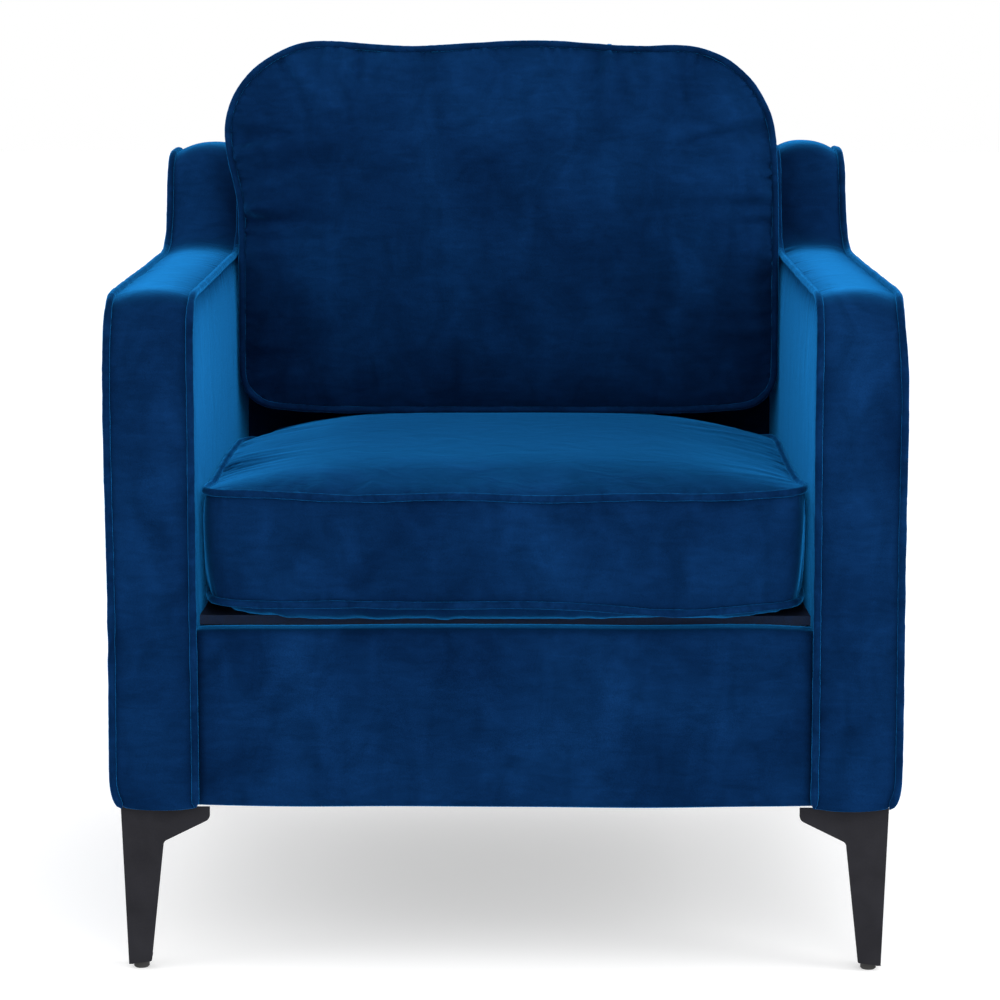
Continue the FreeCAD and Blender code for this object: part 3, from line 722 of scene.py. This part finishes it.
def make_seat_cushion():
    """The boxed seat cushion, with its piping."""
    low, high = span("seat_cushion_cover")
    seam_top = (span("seat_cushion_top_welt")[0][2] + span("seat_cushion_top_welt")[1][2]) / 2
    seam_low = (span("seat_cushion_bottom_welt")[0][2] + span("seat_cushion_bottom_welt")[1][2]) / 2
    corners = [(low[0], low[1]), (high[0], low[1]), (high[0], high[1]), (low[0], high[1])]
    outline = rounded_outline(corners, SEAT_RADII, OUTLINE_SPACING)
    form = Boxed(outline, seam_low, seam_top, CUSHION_SPACING, BOXED_ROWS)
    fronts = near_corner(outline, corners[0], 0.05) + near_corner(outline, corners[1], 0.05)
    rears = near_corner(outline, corners[2], 0.11) + near_corner(outline, corners[3], 0.11)
    u = outline[:, 0] / high[0]
    sag = np.cos(np.clip(u, -1, 1) * np.pi / 2) * (np.abs(form.normals[:, 1]) > 0.7)
    narrow = smooth((outline[:, 1] - 0.02) / (high[1] - 0.02)) * np.abs(form.normals[:, 0])
    droop = smooth((outline[:, 1] - low[1] - 0.02) / 0.10) * np.abs(form.normals[:, 0])

    top = np.zeros((form.count, 3))
    top[:, :2] = -form.normals * (0.0030 * sag + 0.014 * narrow + 0.004 * fronts + 0.020 * rears)[:, None]
    top[:, 2] = (0.0005 * fronts - 0.018 * rears - 0.0035 * sag - 0.007 * droop - 0.0020
                 + 0.0013 * ripples(outline, 0.22, 201))
    form.pull(form.seam_far, top, 100)
    bottom = np.zeros((form.count, 3))
    bottom[:, :2] = -form.normals * (0.002 * sag + 0.012 * fronts + 0.012 * rears + 0.010 * narrow)[:, None]
    dip = bump_at(outline[:, 0], 0.165, 0.060, 0.0065) * (form.normals[:, 1] < -0.7)
    bottom[:, 2] = 0.0010 * fronts + 0.0016 * ripples(outline, 0.26, 204) - 0.0010 - dip
    form.pull(form.seam_near, bottom, 60)

    edge = form.edge_distance
    rise = high[2] - seam_top - 0.001
    form.crown(form.far, rise * (0.35 * (1 - np.exp(-edge / 0.009)) + 0.65 * (1 - np.exp(-edge / 0.075))))
    sink = np.maximum(0, form.points[form.near, 2] - low[2] - 0.0003)
    form.crown(form.near, sink * (1 - np.exp(-edge / 0.003)))
    form.bulge_strip(0.0045 + 0.001 * ripples(form.along[:, None], 0.2, 207))
    points = simulate(form, cap=0.0035, loosen=0.012, seed=211)

    # The arms hold its sides in, so that it slides out past their piping, and its zip lies flat on its rear
    room = span("right_arm_inner_welt")[0][0] - SLIDE_ROOM
    points[:, 0] = narrowed(points[:, 0], room, 0.005)
    for ring in (form.seam_near, form.seam_far):
        points[ring, 0] = narrowed(points[ring, 0], room - WELT_R - PIPING_PROUD, 0.004)
    rear = span("seat_cushion_zipper")[0][1] + ZIP_PROUD
    points[:, 1] = limited(points[:, 1], rear, 0.003)
    finish_cushion("seat_cushion", form, points, {"top": (form.seam_far, 1), "bottom": (form.seam_near, -1)},
                   (0, 0, 1), ("seat_cushion_cover", "seat_cushion_foam"), 0.85, SEAT_FOLDS, 0.0, 200)


def simulate(form, cap, loosen, seed):
    """Inflates a boxed cushion as cloth. Its seams hold; its panels are a little slack beside them.

    cap is the most that a point may move and loosen how slack the cloth is.
    """
    mesh = bpy.data.meshes.new("filling")
    mesh.from_pydata([tuple(p) for p in form.points], [], form.faces)
    obj = bpy.data.objects.new("filling", mesh)
    WORKROOM.collection.objects.link(obj)
    held = obj.vertex_groups.new(name="held")
    held.add([int(i) for ring in (form.seam_near, form.seam_far) for i in ring], 1.0, "REPLACE")
    slack = obj.vertex_groups.new(name="slack")
    patchy = 0.6 + 0.4 * ripples(form.flat, 0.10, seed)
    weights = np.clip(np.exp(-(form.edge_distance / SLACK_REACH) ** 2) * patchy, 0, 1)
    for panel in (form.near, form.far):
        for i, weight in zip(panel, weights):
            slack.add([int(i)], float(weight), "REPLACE")
    cloth = obj.modifiers.new("cloth", "CLOTH")
    settings = cloth.settings
    settings.quality = 5
    settings.mass = 0.3
    settings.tension_stiffness = 40
    settings.compression_stiffness = 15
    settings.shear_stiffness = 8
    settings.bending_stiffness = 0.6
    settings.use_pressure = True
    settings.uniform_pressure_force = FILL_PRESSURE
    settings.effector_weights.gravity = 0
    settings.vertex_group_mass = "held"
    settings.vertex_group_shrink = "slack"
    settings.shrink_min, settings.shrink_max = 0.0, -loosen * 4
    cloth.point_cache.frame_start, cloth.point_cache.frame_end = 1, FILL_FRAMES
    for step in range(1, FILL_FRAMES + 1):
        WORKROOM.frame_set(step)
    posed = obj.evaluated_get(WORKROOM.view_layers[0].depsgraph)
    moved = np.array([v.co for v in posed.data.vertices])
    bpy.data.objects.remove(obj)
    shift = moved - form.points
    length = np.linalg.norm(shift, axis=1)[:, None] + 1e-9
    return form.points + shift * np.tanh(length / cap) * cap / length


def finish_cushion(name, form, points, seams, axis, stands_for, fill, folds, calm, seed):
    """The cushion's cover, refined and gathered at its seams, and the piping on the seams."""
    lines = {kind: points[ring] for kind, (ring, _) in seams.items()}
    fine, faces = refined(points, form.faces, (form.seam_near, form.seam_far))
    fine = puckered(fine, faces, tuple(lines.values()), folds, seed, calm)
    build_object(name, fine, faces, name, "velvet", VELVET, stands_for, fill)
    axis = np.array(axis, float)
    for kind, (ring, way) in seams.items():
        line = lines[kind]
        tangent = np.roll(line, -1, 0) - np.roll(line, 1, 0)
        tangent /= np.linalg.norm(tangent, axis=1)[:, None]
        outward = np.cross(tangent, axis)
        line = line + outward * CUSHION_PIPING_OUT + axis * way * CUSHION_PIPING_LIFT
        line = evened(resampled(line, 0.004, True), 3, True)
        build_object(f"{name}_{kind}_piping", *cord_mesh(line, WELT_R, True, seed + 7), name, "piping", PIPING,
                     (f"{name}_{kind}_welt",))


def back_axes():
    """Foot point, up and forward directions and height of the tilted back cushion's front seam."""
    low, high = span("back_cushion_front_welt")
    foot = np.array([0.0, low[1] + CAD_WELT_R, low[2] + CAD_WELT_R])
    top = np.array([0.0, high[1] - CAD_WELT_R, high[2] - CAD_WELT_R])
    up = (top - foot) / np.linalg.norm(top - foot)
    forward = np.array([0.0, -up[2], up[1]])
    return foot, up, forward, np.linalg.norm(top - foot)


def make_back_cushion():
    """The boxed back cushion, built in the plane of the reclined back, with its piping."""
    foot, up, forward, height = back_axes()
    half = span("back_cushion_cover")[1][0]
    rear_high = span("back_cushion_rear_welt")[1]
    depth = (rear_high[1] - CAD_WELT_R - foot[1] - up[1] * height) / up[2]
    height -= 0.008
    corners = [(-half, 0.0), (half, 0.0), (half, height), (-half, height)]
    outline = rounded_outline(corners, BACK_CUSHION_RADII, OUTLINE_SPACING)
    form = Boxed(outline, -depth, 0.0, CUSHION_SPACING, BOXED_ROWS)
    u, v = outline[:, 0], outline[:, 1]
    side = np.abs(form.normals[:, 0])
    upper = smooth((v - 0.20) / 0.09)
    left, right = u < 0, u > 0

    front = np.zeros((form.count, 3))
    front[:, 0] = np.where(left, 0.0035 - 0.0145 * upper, -0.0030 - 0.0025 * upper) * side
    top = smooth((v - height * 0.7) / (height * 0.3)) * np.abs(form.normals[:, 1])
    wave = (bump_at(u, -0.195, 0.050, 0.0040) + bump_at(u, 0.030, 0.085, 0.0045)
            - bump_at(u, -0.100, 0.055, 0.0020) - bump_at(u, 0.120, 0.050, 0.0025))
    front[:, 1] = top * wave
    front[:, 2] = 0.0020 * ripples(outline, 0.25, 301)
    feet = near_corner(outline, corners[0], 0.06) + near_corner(outline, corners[1], 0.06)
    front[:, 1] += 0.006 * feet
    form.pull(form.seam_far, front, 100)
    rear = -0.008 * np.c_[form.normals, np.zeros(form.count)]
    rear[:, 1] += 0.004 * feet
    form.pull(form.seam_near, rear, 60)

    edge = form.edge_distance
    form.crown(form.far, 0.016 * (1 - np.exp(-edge / 0.013)) + 0.022 * (1 - np.exp(-edge / 0.060)))
    form.crown(form.near, 0.010 * (1 - np.exp(-edge / 0.030)))
    form.bulge_strip(0.003 + 0.0015 * ripples(form.along[:, None], 0.15, 305))
    points = simulate(form, cap=0.022, loosen=0.02, seed=311)

    # A shallow groove in the underside holds the zip
    zip_low, zip_high = span("back_cushion_zipper")
    zip_middle = (zip_low + zip_high) / 2 * (0, 1, 1) - foot
    zip_v, zip_w = zip_middle @ up, zip_middle @ forward
    groove = 1 - smooth((np.abs(points[:, 0]) - zip_high[0] - 0.002) / 0.020)
    groove *= 1 - smooth((np.abs(points[:, 2] - zip_w) - 0.014) / 0.010)
    groove *= points[:, 1] < zip_v + 0.03
    points[:, 1] += groove * np.maximum(0, zip_v + 0.0012 - points[:, 1])
    points = foot + points[:, [0]] * (1, 0, 0) + points[:, [1]] * up + points[:, [2]] * forward
    finish_cushion("back_cushion", form, points, {"front": (form.seam_far, 1), "rear": (form.seam_near, -1)},
                   forward, ("back_cushion_cover", "back_cushion_fill"), 0.7, BACK_FOLDS, 0.8, 300)


# ------------------------------------------------------------------ room, light and camera

def make_room():
    """A white floor that runs on behind the chair, and soft light from the front, sides and top."""
    size = 14.0
    floor = bpy.data.objects.new("floor", bpy.data.meshes.new("floor"))
    corners = [(-size, -size, 0), (size, -size, 0), (size, size, 0), (-size, size, 0)]
    floor.data.from_pydata(corners, [], [(0, 1, 2, 3)])
    bpy.context.scene.collection.objects.link(floor)
    material = bpy.data.materials.new("floor")
    tree, shader = nodes_of(material)
    shader.inputs["Base Color"].default_value = (0.7, 0.7, 0.7, 1)
    shader.inputs["Roughness"].default_value = 0.9
    shader.inputs["Emission Color"].default_value = (1, 1, 1, 1)
    shader.inputs["Emission Strength"].default_value = 0.42
    floor.data.materials.append(material)
    world = bpy.data.worlds.new("world")
    bpy.context.scene.world = world
    world.use_nodes = True
    world.node_tree.nodes["Background"].inputs["Color"].default_value = (1, 1, 1, 1)
    world.node_tree.nodes["Background"].inputs["Strength"].default_value = 1.0


def add_light(name, place, target, size, power):
    """A square area light that points at a target."""
    data = bpy.data.lights.new(name, "AREA")
    data.shape, data.size, data.energy = "SQUARE", size, power
    light = bpy.data.objects.new(name, data)
    light.location = place
    light.rotation_euler = (Vector(target) - Vector(place)).to_track_quat("-Z", "Y").to_euler()
    bpy.context.scene.collection.objects.link(light)


def make_lights():
    """Soft lights from above, the front and both sides, the right one stronger than the left."""
    middle = (0.0, 0.0, 0.5)
    add_light("overhead", (0.0, -0.9, 2.9), middle, 2.0, 6)
    add_light("front", (0.6, -3.6, 2.4), middle, 2.0, 30)
    add_light("right", (3.0, -1.2, 1.8), middle, 1.6, 37)
    add_light("left", (-3.0, -1.2, 1.8), middle, 1.6, 14)


def make_camera():
    """The photo's view."""
    data = bpy.data.cameras.new("camera")
    data.lens, data.sensor_width = CAMERA_LENS, 36.0
    camera = bpy.data.objects.new("camera", data)
    front = span("right_arm_cover")[0][1]
    camera.location = (CAMERA_SIDE, front - CAMERA_DISTANCE, CAMERA_HEIGHT)
    camera.rotation_euler = (math.pi / 2 - CAMERA_PITCH, 0.0, CAMERA_TURN)
    bpy.context.scene.collection.objects.link(camera)
    bpy.context.scene.camera = camera
    bpy.context.scene.view_settings.view_transform = "Standard"


# ------------------------------------------------------------------ build

WORKROOM = bpy.data.scenes.new("workroom")      # meshes are subdivided and filled apart from the chair
dress_cad_nodes()
for arm_side in (-1, 1):
    make_arm(arm_side)
make_front_rail()
make_back()
make_seat_cushion()
make_back_cushion()
bpy.data.scenes.remove(WORKROOM)
make_room()
make_lights()
make_camera()
